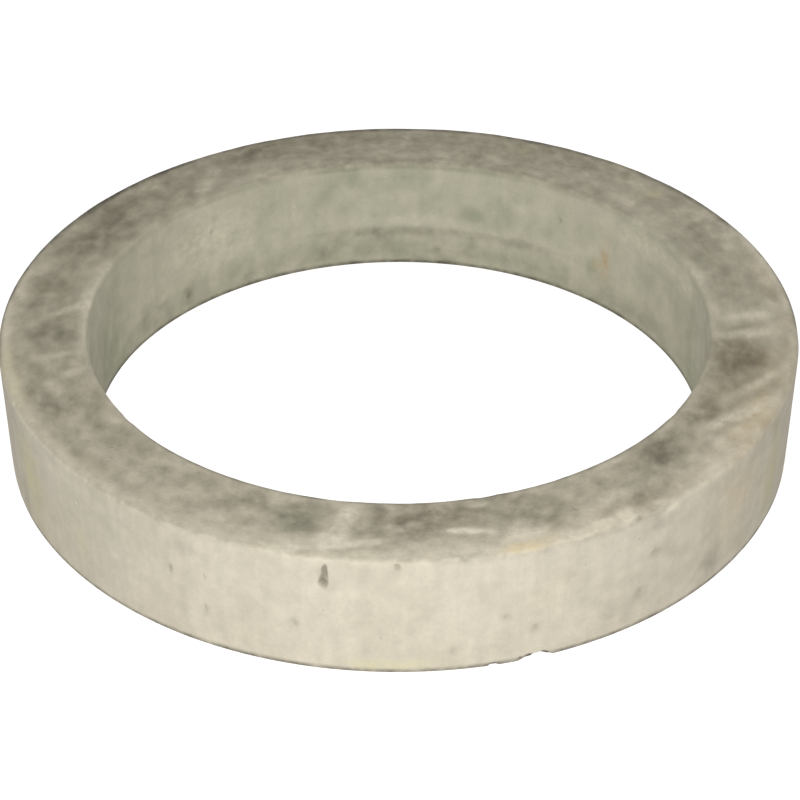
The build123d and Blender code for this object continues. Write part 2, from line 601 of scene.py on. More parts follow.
@dataclass(frozen=True)
class CastConcrete:
    """Precast concrete: grey-buff cement paste, cast against steel, with its top face trowelled by hand.

    To the eye it is a dull, pale, slightly warm surface with soft cloudy tones. The walls are smooth, with
    faint upright runs and pinholes, and the trowelled face is rougher and holds dirt.

    Attributes:
        name: the material's name.
        paste_dark: colour of the paste in its darker clouds.
        paste_light: colour of the paste in its lighter clouds.
        pore: colour of the dirt and painted shade in blowholes, and of the pinholes.
        trowelled_tint: what the colour of the trowelled face is multiplied by.
        stains: the kinds of stain, with painted shade among them, in the order in which they are laid on.
        ior: index of refraction.
        cloud_size: size of the clouds.
        run_size: distance between the upright runs.
        run_squeeze: how much the height counts in the runs' pattern, which stretches them upright.
        run_tones: what the runs multiply the colour by, at their darkest and lightest.
        patch_size: size of the patches of tone.
        patch_reach: how far the patches change the tone, on the walls and where it was trowelled.
        noise_stretch: makes up for noise keeping to the middle of its range.
        sand_size: size of the coarser sand.
        grit_size: size of the finer sand.
        sand_tones: what the sand multiplies the colour by, at its darkest and lightest.
        sand_relief: height of the sand in millimetres, on the walls and where it was trowelled.
        pinhole_cell: size of the cells that have one pinhole at most.
        pinhole_radius: radius of the largest pinhole, as a share of its cell.
        pinhole_rim: width of a pinhole's soft rim, as a share of its cell.
        pinhole_darkening: how much darker a pinhole is.
        pinhole_depth: depth of a pinhole, in millimetres.
        roughness: how dull it is, in the darker and in the lighter clouds.
    """

    name: str = "precast_concrete_weathered"
    paste_dark: str = "D4CCB8"
    paste_light: str = "DDD5C2"
    pore: str = "4B463C"
    trowelled_tint: str = "FFFEFA"
    stains: tuple[Stain, ...] = (
        Stain("film", "756F57", 14.0, 0.28, 0.00, 1.0),
        Stain("algae", "949C80", 26.0, 0.35, 0.05, 1.1, drawn=False),
        # Lime cast, with painted warm shade on the side walls
        Stain("lime_and_warm_shade", "DAD3A4", 14.0, 0.5, 0.00, 1.2, drawn=False),
        Stain("buff", "EAD5A8", 12.0, 0.5, 0.00, 1.2),
        Stain("grime", "5A5243", 14.0, 0.62, 0.00, 1.7),
        # Painted shade along the edges, and dirt with a painted shadow line on the lift line
        Stain("edge_shade_and_dirt", "4C463A", 10.0, 0.5, 0.00, 1.3),
        Stain("scuff", "EDE5CE", 7.0, 0.6, 0.00, 1.10),
        Stain("rust", "BE9658", 7.0, 0.7, 0.00, 1.6, drawn=False),
    )
    ior: float = 1.5
    cloud_size: float = 70 * MM
    run_size: float = 12 * MM
    run_squeeze: float = 0.12
    run_tones: tuple[float, float] = (0.955, 1.04)
    patch_size: float = 16 * MM
    patch_reach: tuple[float, float] = (0.065, 0.20)
    noise_stretch: float = 1.5
    sand_size: float = 4 * MM
    grit_size: float = 1.5 * MM
    sand_tones: tuple[float, float] = (0.955, 1.042)
    sand_relief: tuple[float, float] = (0.18, 0.42)
    pinhole_cell: float = 16 * MM
    pinhole_radius: float = 0.09
    pinhole_rim: float = 0.03
    pinhole_darkening: float = 0.14
    pinhole_depth: float = 0.35
    roughness: tuple[float, float] = (0.84, 0.96)

    def material(self) -> bpy.types.Material:
        """Builds the node material.

        Returns:
            The finished material.
        """
        finish = bpy.data.materials.new(self.name)
        finish.use_nodes = True
        tree = finish.node_tree
        tree.nodes.clear()
        blend, tint = {"data_type": "RGBA"}, {"data_type": "RGBA", "blend_type": "MULTIPLY"}
        place = add_node(tree, "ShaderNodeTexCoord").outputs["Object"]
        trowelled = add_node(tree, "ShaderNodeAttribute", {"attribute_name": "trowelled"}).outputs["Fac"]
        drawn = add_node(tree, "ShaderNodeAttribute", {"attribute_name": "drawn"}).outputs["Vector"]
        # Cloudy tones of the paste. Noise keeps to the middle of 0 to 1, so its ranges start from about there
        cloud = add_node(
            tree, "ShaderNodeTexNoise", {}, {"Vector": place, "Scale": 1 / self.cloud_size, "Detail": 5.0}
        )
        tone = add_node(tree, "ShaderNodeMapRange", {}, {0: cloud, 1: 0.32, 2: 0.68})
        colour = add_node(
            tree, "ShaderNodeMix", blend, {0: tone, 1: linear(self.paste_dark), 2: linear(self.paste_light)}
        )
        # Upright runs, left by water on the walls
        upright = add_node(
            tree, "ShaderNodeMapping", {}, {"Vector": place, "Scale": (1.0, 1.0, self.run_squeeze)}
        )
        runs = add_node(
            tree, "ShaderNodeTexNoise", {}, {"Vector": upright, "Scale": 1 / self.run_size, "Detail": 2.0}
        )
        dark, light = self.run_tones
        shade = add_node(tree, "ShaderNodeMapRange", {}, {0: runs, 1: 0.3, 2: 0.7, 3: dark, 4: light})
        colour = add_node(tree, "ShaderNodeMix", tint, {0: 1.0, 1: colour, 2: shade})
        # Patches of tone, which are stronger where it was trowelled
        patches = add_node(
            tree, "ShaderNodeTexNoise", {},
            {"Vector": drawn, "Scale": 1 / self.patch_size, "Detail": 3.0, "Roughness": 0.55},
        )
        swing = add_node(tree, "ShaderNodeMapRange", {}, {0: patches, 1: 0.3, 2: 0.7, 3: -1.0, 4: 1.0})
        walls, top = self.patch_reach
        reach = add_node(tree, "ShaderNodeMapRange", {}, {0: trowelled, 1: 0.0, 2: 1.0, 3: walls, 4: top})
        shade = add_node(tree, "ShaderNodeMath", {"operation": "MULTIPLY_ADD"}, {0: swing, 1: reach, 2: 1.0})
        colour = add_node(tree, "ShaderNodeMix", tint, {0: 1.0, 1: colour, 2: shade})
        colour = add_node(
            tree, "ShaderNodeMix", tint, {0: trowelled, 1: colour, 2: linear(self.trowelled_tint)}
        )
        # Stains, and the painted shade that some of them hold, each broken up by pores of its own size
        for stain in self.stains:
            amount = add_node(tree, "ShaderNodeAttribute", {"attribute_name": stain.mask}).outputs["Fac"]
            pores = add_node(
                tree, "ShaderNodeTexNoise", {},
                {
                    "Vector": drawn if stain.drawn else place,
                    "Scale": 1 / (stain.grain * MM),
                    "Detail": 3.0,
                    "Roughness": 0.5,
                },
            )
            spread = self.noise_stretch * stain.spread
            push = add_node(
                tree, "ShaderNodeMapRange", {"clamp": False},
                {0: pores, 1: 0.0, 2: 1.0, 3: 1.0 - spread, 4: 1.0 + spread},
            )
            broken = add_node(tree, "ShaderNodeMath", {"operation": "MULTIPLY"}, {0: amount, 1: push})
            cover = add_node(
                tree, "ShaderNodeMapRange", {"interpolation_type": "SMOOTHSTEP"},
                {0: broken, 1: stain.low, 2: stain.high},
            )
            colour = add_node(tree, "ShaderNodeMix", blend, {0: cover, 1: colour, 2: linear(stain.colour)})
        # Sand in the paste, drawn a little coarser than the real grains so that it shows
        sand = add_node(
            tree, "ShaderNodeTexNoise", {}, {"Vector": place, "Scale": 1 / self.sand_size, "Detail": 2.0}
        )
        grit = add_node(
            tree, "ShaderNodeTexNoise", {}, {"Vector": place, "Scale": 1 / self.grit_size, "Detail": 1.0}
        )
        grains = add_node(tree, "ShaderNodeMath", {"operation": "ADD"}, {0: sand, 1: grit})
        dark, light = self.sand_tones
        speckle = add_node(tree, "ShaderNodeMapRange", {}, {0: grains, 1: 0.6, 2: 1.4, 3: dark, 4: light})
        colour = add_node(tree, "ShaderNodeMix", tint, {0: 1.0, 1: colour, 2: speckle})
        # Blowholes darken with dirt and painted shade
        hollow = add_node(tree, "ShaderNodeAttribute", {"attribute_name": "hollow"}).outputs["Fac"]
        colour = add_node(tree, "ShaderNodeMix", blend, {0: hollow, 1: colour, 2: linear(self.pore)})
        # Pinholes of up to 3 mm, in about a third of the cells
        cells = add_node(tree, "ShaderNodeTexVoronoi", {}, {"Vector": place, "Scale": 1 / self.pinhole_cell})
        lot = add_node(tree, "ShaderNodeSeparateColor", {}, {0: cells.outputs["Color"]})
        size = add_node(
            tree, "ShaderNodeMapRange", {}, {0: lot, 1: 0.65, 2: 1.0, 3: 0.0, 4: self.pinhole_radius}
        )
        inside = add_node(tree, "ShaderNodeMath", {"operation": "SUBTRACT"}, {0: size, 1: cells})
        pinhole = add_node(tree, "ShaderNodeMapRange", {}, {0: inside, 1: 0.0, 2: self.pinhole_rim})
        dot = add_node(tree, "ShaderNodeMath", {"operation": "MULTIPLY"}, {0: pinhole, 1: self.pinhole_darkening})
        colour = add_node(tree, "ShaderNodeMix", blend, {0: dot, 1: colour, 2: linear(self.pore)})
        # Roughness follows the clouds, and the relief is in millimetres: coarser where it was trowelled
        low, high = self.roughness
        dull = add_node(tree, "ShaderNodeMapRange", {}, {0: cloud, 1: 0.3, 2: 0.7, 3: low, 4: high})
        walls, top = self.sand_relief
        coarse = add_node(tree, "ShaderNodeMapRange", {}, {0: trowelled, 1: 0.0, 2: 1.0, 3: walls, 4: top})
        rough = add_node(tree, "ShaderNodeMath", {"operation": "MULTIPLY"}, {0: grains, 1: coarse})
        relief = add_node(
            tree, "ShaderNodeMath", {"operation": "MULTIPLY_ADD"},
            {0: pinhole, 1: -self.pinhole_depth, 2: rough},
        )
        bump = add_node(tree, "ShaderNodeBump", {}, {"Strength": 1.0, "Distance": MM, "Height": relief})
        shader = add_node(
            tree, "ShaderNodeBsdfPrincipled", {},
            {"Base Color": colour, "Roughness": dull, "IOR": self.ior, "Normal": bump},
        )
        add_node(tree, "ShaderNodeOutputMaterial", {}, {"Surface": shader})
        return finish


@dataclass
class RingSection:
    """The ring's section: a straight bore, a drafted outside, level faces and four rounded arrises.

    Attributes:
        bore_radius: radius of the opening.
        height: from the bottom face to the top face.
        wall: how thick the ring is at the top, where it is widest.
        draft: how far the outside comes in, on the radius, from top to bottom.
        top_arris: radius of the top face's edges.
        foot_arris: radius of the bottom face's edges.
        arc_steps: how many steps each arc of the traced outline has.
        fine_top: height in the bore at which the closer rows of the lift line start.
        fine_foot: height in the bore at which they end.
        radius: radii of the traced outline, which is made from the sizes above.
        level: its heights.
        normal: directions of its outward normals, as angles in the section's plane.
        along: distances along it, from the middle of the bottom face and outwards first.
        arc_start: the distance at which each arris starts.
        arc_end: the distance at which each arris ends.
    """

    bore_radius: float
    height: float
    wall: float = 85.0 * MM
    draft: float = 2.0 * MM
    top_arris: float = 5.0 * MM
    foot_arris: float = 3.0 * MM
    arc_steps: int = 24
    fine_top: float = 52.0 * MM
    fine_foot: float = 36.0 * MM
    radius: np.ndarray = field(init=False, repr=False)
    level: np.ndarray = field(init=False, repr=False)
    normal: np.ndarray = field(init=False, repr=False)
    along: np.ndarray = field(init=False, repr=False)
    arc_start: dict[Arris, float] = field(init=False, repr=False)
    arc_end: dict[Arris, float] = field(init=False, repr=False)

    def __post_init__(self) -> None:
        """Traces the outline once, and keeps where each arc starts and ends along it."""
        lean = math.atan2(self.draft, self.height)
        secant, slope = 1.0 / math.cos(lean), math.tan(lean)
        wide_radius = self.bore_radius + self.wall
        foot_radius = wide_radius - self.draft
        foot, top, quarter = self.foot_arris, self.top_arris, 0.5 * math.pi
        # Each arc: radius and height of its middle, its own radius, first and last direction of its normal
        arcs = {
            Arris.FOOT_OUTER: (foot_radius - foot * (secant - slope), foot, foot, -quarter, -lean),
            Arris.TOP_OUTER: (
                wide_radius - top * (secant + slope), self.height - top, top, -lean, quarter,
            ),
            Arris.TOP_INNER: (self.bore_radius + top, self.height - top, top, quarter, 2 * quarter),
            Arris.FOOT_INNER: (self.bore_radius + foot, foot, foot, 2 * quarter, 3 * quarter),
        }
        steps = np.linspace(0.0, 1.0, self.arc_steps + 1)
        middle = 0.5 * (self.bore_radius + foot_radius)
        radius, level, normal = [np.array([middle])], [np.zeros(1)], [np.array([-quarter])]
        for centre_radius, centre_level, size, first, last in arcs.values():
            turn = first + (last - first) * steps
            radius.append(centre_radius + size * np.cos(turn))
            level.append(centre_level + size * np.sin(turn))
            normal.append(turn)
        self.radius = np.concatenate([*radius, [middle]])
        self.level = np.concatenate([*level, [0.0]])
        self.normal = np.concatenate([*normal, [3 * quarter]])
        strides = np.hypot(np.diff(self.radius), np.diff(self.level))
        self.along = np.concatenate([[0.0], np.cumsum(strides)])
        starts = 1 + (self.arc_steps + 1) * np.arange(len(arcs))
        self.arc_start = dict(zip(arcs, self.along[starts]))
        self.arc_end = dict(zip(arcs, self.along[starts + self.arc_steps]))

    @property
    def length(self) -> float:
        """The outline's whole length."""
        return float(self.along[-1])

    def outline(self, along: np.ndarray) -> tuple[np.ndarray, np.ndarray, np.ndarray]:
        """Reads the outline: straight runs and arcs joined in one loop, by the distance along it.

        Args:
            along: distances from the middle of the bottom face, outwards first, in metres.

        Returns:
            The radius, the height and the outward normal's direction, as an angle in the section's plane.
        """
        return (
            np.interp(along, self.along, self.radius),
            np.interp(along, self.along, self.level),
            np.interp(along, self.along, self.normal),
        )

    def spot(self, face: Face, place: float) -> float:
        """Distance along the outline of a place on a face.

        Args:
            face: the face.
            place: the radius on the top face, or the height on a wall, in metres.

        Returns:
            The distance along the outline, in metres.
        """
        before = {Face.OUTER: Arris.FOOT_OUTER, Face.TOP: Arris.TOP_OUTER, Face.BORE: Arris.TOP_INNER}[face]
        start = self.arc_end[before]
        radius, level, _ = self.outline(np.array([start]))
        run = {Face.OUTER: place - level[0], Face.TOP: radius[0] - place, Face.BORE: level[0] - place}[face]
        return float(start + run)

    def edge(self, arris: Arris) -> float:
        """Distance along the outline of the middle of an arris."""
        return 0.5 * float(self.arc_start[arris] + self.arc_end[arris])

    def rows(self) -> np.ndarray:
        """Chooses the mesh's rows: even steps between stops, shortest on the arrises and the lift line.

        Returns:
            Distances along the outline, in metres.
        """
        first, last = self.arc_start, self.arc_end
        # Each stop is a distance along the outline, and how many steps lead on from it
        stops = [
            (0.0, 2),
            (first[Arris.FOOT_OUTER], 4),
            (last[Arris.FOOT_OUTER], 28),
            (first[Arris.TOP_OUTER], 5),
            (last[Arris.TOP_OUTER], 26),
            (first[Arris.TOP_INNER], 5),
            (last[Arris.TOP_INNER], 15),
            (self.spot(Face.BORE, self.fine_top), 8),
            (self.spot(Face.BORE, self.fine_foot), 8),
            (first[Arris.FOOT_INNER], 3),
            (last[Arris.FOOT_INNER], 2),
            (self.length, 1),
        ]
        spans = zip(stops, stops[1:])
        parts = [np.linspace(low, high, count, endpoint=False) for (low, count), (high, _) in spans]
        return np.concatenate([*parts, [self.length]])


@dataclass
class TopRing:
    """The cast ring, as one closed surface of two parameters: the angle and the distance along the section.

    Attributes:
        section: the ring's section.
        name: the piece's name.
        columns: how many steps the mesh has round the axis, an even number.
        seam: the angle at which the first and last columns meet, in degrees.
        cuts: how many cuts an edge of the mesh gets where there is damage.
        damage_margin: how much wider and longer than the damage the finer mesh is.
        map_margin: margin round the two strips of the map, as a share of the map.
        weld: distance within which the rims of the mesh are joined.
        draw: how many times longer than wide the trowel left the marks where the ring runs along Y.
        ragged_cell: size of the noise that makes rims ragged.
        slow_cell: size of the slowest waves.
        stroke_cell: size of the waves that the trowel's strokes left.
        wall_cell: size of the waves that stand in for them on the walls.
        fine_cell: size of the finest waves.
        top_waves: depth of the slow, the middle and the fine waves on the top face, in millimetres.
        wall_waves: the same on the walls.
        wear_reach: how far the wear of an arris goes to each side of it.
        lift_level: height of the line that the casting's first lift left in the bore.
        lift_width: how wide that line is.
        lift_depth: how deep it is.
        lift_angle: the angle of its middle, in degrees.
        lift_half: the angle from its middle to its ends, in radians.
        lift_fade: the angle in which it fades out at its ends, in radians.
        chip_full: depth from which a chip shows fully.
        foot_zone: height above which chips are pale, and below which they are darker, as painted shade along
            the foot.
        foot_fade: the height in which the one turns into the other.
        film_end: height at which the film in the bore ends.
        film_fade: the height in which it fades out.
        bore_green: how full the green growth is all over the bore.
        lift_dirt_and_shade: how dark the lift line is made, with dirt in its groove and a painted shadow
            line.
        chip_scuff: how pale the chips above the foot are.
    """

    section: RingSection
    name: str = "cast_ring"
    columns: int = 720
    seam: float = 66.0
    cuts: int = 3
    damage_margin: float = 5.0 * MM
    map_margin: float = 0.01
    weld: float = 1e-6
    draw: float = 1.7
    ragged_cell: float = 4.0 * MM
    slow_cell: float = 90.0 * MM
    stroke_cell: float = 26.0 * MM
    wall_cell: float = 28.0 * MM
    fine_cell: float = 9.0 * MM
    top_waves: tuple[float, float, float] = (0.25, 0.30, 0.15)
    wall_waves: tuple[float, float, float] = (0.35, 0.12, 0.08)
    wear_reach: float = 6.0 * MM
    lift_level: float = 43.0 * MM
    lift_width: float = 2.2 * MM
    lift_depth: float = 0.5 * MM
    lift_angle: float = 81.0
    lift_half: float = 0.68
    lift_fade: float = 0.3
    chip_full: float = 1.2 * MM
    foot_zone: float = 20.0 * MM
    foot_fade: float = 10.0 * MM
    film_end: float = 114.0 * MM
    film_fade: float = 5.0 * MM
    bore_green: float = 0.40
    lift_dirt_and_shade: float = 0.28
    chip_scuff: float = 0.5

    def offset(self, turn: np.ndarray, angle: float) -> np.ndarray:
        """Angles from a place round the axis, the short way, in radians."""
        return (turn - math.radians(angle) + math.pi) % (2 * math.pi) - math.pi

    def points(self, turn: np.ndarray, along: np.ndarray) -> np.ndarray:
        """Places on the plain ring: the section's radius and height, turned about the axis."""
        radius, level, _ = self.section.outline(along)
        return np.stack([radius * np.cos(turn), radius * np.sin(turn), level], axis=1)

    def drawn_out(self, turn: np.ndarray, along: np.ndarray) -> np.ndarray:
        """Places pushed together along Y, so that noise read there is drawn out the way the trowel went.

        The radius loses the same length everywhere along Y. That draws marks out where the ring runs along Y,
        and keeps distances across the face.

        Args:
            turn: angles of the places, in radians.
            along: distances of the places along the section.

        Returns:
            The pushed places, one in each row, in metres.
        """
        radius, level, _ = self.section.outline(along)
        lost = (1.0 - 1.0 / self.draw) * (self.section.bore_radius + 0.5 * self.section.wall)
        return np.stack([radius * np.cos(turn), (radius - lost) * np.sin(turn), level], axis=1)

    def ellipse(
        self, turn: np.ndarray, along: np.ndarray, angle: float, spot: float, length: float, width: float,
        lean: float = 0.0, run: float = 0.0,
    ) -> np.ndarray:
        """Distance from the middle of an ellipse on the surface, where its rim is 1.

        Args:
            turn: angles of the places, in radians.
            along: distances of the places along the section.
            angle: angle of the ellipse's middle, in degrees.
            spot: distance of its middle along the section.
            length: its size along the turn, in metres.
            width: its size along the section, in metres.
            lean: how far its length is turned towards greater distances, in degrees.
            run: how far it is drawn out along the turn, in metres.

        Returns:
            The distance for each place.
        """
        radius = self.section.outline(np.array([spot]))[0][0]
        x, y = self.offset(turn, angle) * radius, along - spot
        x -= np.clip(x, -0.5 * run, 0.5 * run)
        cosine, sine = math.cos(math.radians(lean)), math.sin(math.radians(lean))
        return np.hypot((x * cosine + y * sine) * 2 / length, (y * cosine - x * sine) * 2 / width)

    def damaged(self, turn: np.ndarray, along: np.ndarray) -> np.ndarray:
        """Tells which places lie on or beside a blowhole or a chip.

        Args:
            turn: angles of the places, in radians.
            along: distances of the places along the section.

        Returns:
            True or false for each place.
        """
        margin = self.damage_margin
        near = np.zeros(len(turn), bool)
        for hole in BLOWHOLES:
            spot = self.section.spot(hole.face, hole.place * MM)
            size = hole.length * MM + margin, hole.width * MM + margin
            near |= self.ellipse(turn, along, hole.angle, spot, *size) < 1.0
        for chip in CHIPS:
            size = chip.length * MM + margin, 2 * chip.reach * MM + margin
            near |= self.ellipse(turn, along, chip.angle, self.section.edge(chip.arris), *size) < 1.0
        return near

    def flat_grid(self) -> bpy.types.Mesh:
        """Makes the mesh of the two parameters, with finer faces where there is damage.

        Its map lays the two halves of the turn one above the other, so that the map is nearly square.

        Returns:
            A mesh whose x is the angle and y the distance along the section.
        """
        turns = math.radians(self.seam) + np.linspace(0.0, 2 * math.pi, self.columns + 1)
        rows = self.section.rows()
        x, y = np.meshgrid(turns, rows, indexing="ij")
        flat = np.stack([x.ravel(), y.ravel(), np.zeros(x.size)], axis=1)
        column, row = np.divmod(np.arange(self.columns * (len(rows) - 1)), len(rows) - 1)
        corner = column * len(rows) + row
        faces = np.stack([corner, corner + len(rows), corner + len(rows) + 1, corner + 1], axis=1)
        mesh = bpy.data.meshes.new(self.name)
        mesh.from_pydata(flat.tolist(), [], faces.tolist())
        # The map: half a turn across and the whole section up, in each of two strips with a small margin
        half = (2 * column >= self.columns)[:, None]
        across = (flat[faces, 0] - turns[0]) / math.pi - half
        up = flat[faces, 1] / self.section.length
        margin = self.map_margin
        across = margin + (1.0 - 2 * margin) * across
        up = 0.5 * half + 0.5 * margin + (0.5 - margin) * up
        chart = np.stack([across, up], axis=2)
        mesh.uv_layers.new(name="OFBake").uv.foreach_set("vector", chart.astype(np.float32).ravel())
        middle = flat[faces].mean(axis=1)
        chosen = np.flatnonzero(self.damaged(middle[:, 0], middle[:, 1]))
        plan = bmesh.new()
        plan.from_mesh(mesh)
        plan.faces.ensure_lookup_table()
        edges = {edge for index in chosen for edge in plan.faces[index].edges}
        bmesh.ops.subdivide_edges(plan, edges=list(edges), cuts=self.cuts, use_grid_fill=True)
        plan.to_mesh(mesh)
        plan.free()
        return mesh

    def hollows(self, turn: np.ndarray, along: np.ndarray, ragged: np.ndarray) -> tuple[np.ndarray, ...]:
        """Blowholes: bowls that slope by a smooth step from inside the rim to just past it, with ragged rims.

        Args:
            turn: angles of the places, in radians.
            along: distances of the places along the section.
            ragged: noise of a few millimetres at the places.

        Returns:
            The depth in metres, and how dark each place is with dirt and painted shade, from 0 to 1.
        """
        depth, fullness = np.zeros(len(turn)), np.zeros(len(turn))
        for hole in BLOWHOLES:
            spot = self.section.spot(hole.face, hole.place * MM)
            size = hole.length * MM, hole.width * MM
            rim = self.ellipse(turn, along, hole.angle, spot, *size) + 0.5 * (ragged - 0.5)
            # Level for 0.3 of the way to the rim, then up to just past it. A deeper hole is darker, with dirt
            # and painted shade
            bowl = 1.0 - smooth_step((rim - 0.30) / 0.85)
            depth = np.maximum(depth, bowl * hole.depth * MM)
            fullness = np.maximum(fullness, bowl * min(1.0, 0.15 * hole.depth))
        return depth, fullness

    def bites(self, turn: np.ndarray, along: np.ndarray, ragged: np.ndarray) -> tuple[np.ndarray, ...]:
        """Chips: every place of a chip moves the same way, into the corner that the arris rounds.

        Args:
            turn: angles of the places, in radians.
            along: distances of the places along the section.
            ragged: noise of a few millimetres at the places.

        Returns:
            How far each place moves inwards on the radius and upwards, in metres, and the greater of the two.
        """
        inwards, upwards = np.zeros(len(turn)), np.zeros(len(turn))
        for chip in CHIPS:
            edge = self.section.edge(chip.arris)
            normal = self.section.outline(np.array([edge]))[2][0]
            size = chip.length * MM, 2 * chip.reach * MM
            rim = self.ellipse(turn, along, chip.angle, edge, *size) + 0.35 * (ragged - 0.5)
            # The depth comes by a smooth step over 0.7 of the way in from the rim
            bite = chip.depth * MM * smooth_step((1.0 - rim) / 0.7)
            inwards -= bite * math.cos(normal)
            upwards -= bite * math.sin(normal)
        return inwards, upwards, np.hypot(inwards, upwards)

    def shape(self, turn: np.ndarray, along: np.ndarray) -> tuple[np.ndarray, dict[str, np.ndarray]]:
        """Works out the worn surface and its masks from the two parameters.

        A place starts on the plain ring, and goes in along its normal by the waviness of its face, the wear
        of the arrises, the lift line and the blowholes. Then the chips move it. Nothing moves outwards, and
        the bottom face stays level.

        Args:
            turn: angles of the places, in radians.
            along: distances of the places along the section.

        Returns:
            The places in metres, and the masks by name.
        """
        plain = self.points(turn, along)
        radius, level, normal = self.section.outline(along)
        top, outer, bore = (smooth_step(part) for part in (np.sin(normal), np.cos(normal), -np.cos(normal)))
        ragged = lattice_noise(plain, self.ragged_cell, 11)
        # Waviness: slow on the moulded walls, and broken into smaller trowel strokes on top
        drawn = self.drawn_out(turn, along)
        slow = lattice_noise(plain, self.slow_cell, 12)
        stroke = top * lattice_noise(drawn, self.stroke_cell, 13)
        stroke += (1.0 - top) * lattice_noise(plain, self.wall_cell, 13)
        fine = top * lattice_noise(drawn, self.fine_cell, 14)
        fine += (1.0 - top) * lattice_noise(plain, self.fine_cell, 14)
        depth = np.zeros(len(turn))
        for share, waves in ((outer + bore, self.wall_waves), (top, self.top_waves)):
            depth += share * (waves[0] * slow + waves[1] * stroke + waves[2] * fine) * MM
        # Wear along the four arrises, up to about half a millimetre
        wear = np.zeros(len(turn))
        for arris in Arris:
            wear += np.exp(-(((along - self.section.edge(arris)) / self.wear_reach) ** 2))
        depth += wear * (0.35 * stroke**2 + 0.2 * fine * ragged) * MM
        # The lift line: a shallow groove round the far side of the bore, which wanders with the waves
        window = smooth_step((self.lift_half - np.abs(self.offset(turn, self.lift_angle))) / self.lift_fade)
        line = np.exp(-(((level - self.lift_level) / self.lift_width + 1.2 * (stroke - 0.5)) ** 2))
        lift = bore * window * line
        depth += self.lift_depth * lift
        holes, hollow = self.hollows(turn, along, ragged)
        flat_foot = smooth_step(-np.sin(normal))
        depth = (depth + holes) * (1.0 - flat_foot)
        inwards, upwards, bite = self.bites(turn, along, ragged)
        reach = radius - depth * np.cos(normal) + inwards
        height = np.clip(level - depth * np.sin(normal) + upwards, 0.0, self.section.height)
        places = np.stack([reach * np.cos(turn), reach * np.sin(turn), height], axis=1)
        # Masks for the finish. Chips are pale above the foot, and darker at it as painted shade along the
        # foot.
        # The film ends a little below the bore's lip and on the rounding of the outer edge. Noise pushes the
        # rims of the marks in and out
        push = 0.35 * (fine - 0.5) + 0.5 * (stroke - 0.5)
        knocked = smooth_step(bite / self.chip_full)
        upper = smooth_step((level - self.foot_zone) / self.foot_fade)
        lip = smooth_step((level - self.film_end) / self.film_fade)
        # Where the film reaches over the rounding of the outer edge, it also darkens that edge: painted shade
        # over its highlight
        wrap = lip * (1.0 - smooth_step(2.0 * np.cos(normal) - 1.0))
        # Painted shade: the lift line's shadow line, with the dirt in its groove, and the chips at the foot
        shade_and_dirt_lines = np.maximum(self.lift_dirt_and_shade * lift, knocked * (1.0 - upper))
        growth = self.stain(ALGAE, turn, along, push)
        masks = {
            "trowelled": top,
            "hollow": hollow,
            "film": wrap * self.stain(FILM, turn, along, 0.5 * push),
            "algae": 1.0 - (1.0 - self.bore_green * bore) * (1.0 - growth),
            "lime_and_warm_shade": self.stain(LIME_AND_WARM_SHADE, turn, along, push),
            "buff": self.stain(BUFF, turn, along, push),
            "grime": self.stain(GRIME, turn, along, push),
            "edge_shade_and_dirt": np.maximum(self.stain(EDGE_SHADE_AND_DIRT, turn, along, 0.5 * push), shade_and_dirt_lines),
            "scuff": np.maximum(self.stain(SCUFFS, turn, along, push), self.chip_scuff * knocked * upper),
            "rust": self.stain(RUST, turn, along, push),
            "drawn": drawn,
        }
        return places, masks

    def stain(
        self, marks: tuple[Mark, ...], turn: np.ndarray, along: np.ndarray, push: np.ndarray
    ) -> np.ndarray:
        """Strength of a set of marks: ellipses that fade by a smooth step, out to 1.4 times their size.

        Where marks lie over each other, the shares that they leave clear are multiplied.

        Args:
            marks: the marks.
            turn: angles of the places, in radians.
            along: distances of the places along the section.
            push: how far noise pushes the rims in, as a share of the ellipse's size.

        Returns:
            The strength at each place, where 1 is full.
        """
        clear = np.ones(len(turn))
        for mark in marks:
            spot = self.section.spot(mark.face, mark.place * MM)
            lean = mark.lean if mark.face is Face.OUTER else -mark.lean
            size = mark.length * MM, mark.width * MM
            rim = self.ellipse(turn, along, mark.angle, spot, *size, lean, mark.run * MM) + push
            clear *= 1.0 - mark.strength * (1.0 - smooth_step(rim / 1.4))
        return 1.0 - clear

    def build(self, finish: bpy.types.Material) -> bpy.types.Object:
        """Shapes the mesh, closes its seams, dresses it and puts it in the place of the solid.

        Args:
            finish: the material.

        Returns:
            The finished object.
        """
        mesh = self.flat_grid()
        flat = np.empty(3 * len(mesh.vertices))
        mesh.vertices.foreach_get("co", flat)
        turn, along = flat.reshape(-1, 3)[:, :2].T
        places, masks = self.shape(turn, along)
        mesh.vertices.foreach_set("co", places.ravel())
        for name, values in masks.items():
            kind, slot = ("FLOAT", "value") if values.ndim == 1 else ("FLOAT_VECTOR", "vector")
            data = mesh.attributes.new(name, kind, "POINT").data
            data.foreach_set(slot, values.astype(np.float32).ravel())
        whole = bmesh.new()
        whole.from_mesh(mesh)
        bmesh.ops.remove_doubles(whole, verts=whole.verts, dist=self.weld)
        whole.to_mesh(mesh)
        whole.free()
        mesh.shade_smooth()
        mesh.materials.append(finish)
        ring = bpy.data.objects.new(self.name, mesh)
        bpy.context.scene.collection.objects.link(ring)
        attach(ring, BODY)
        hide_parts(NODE)
        return ring


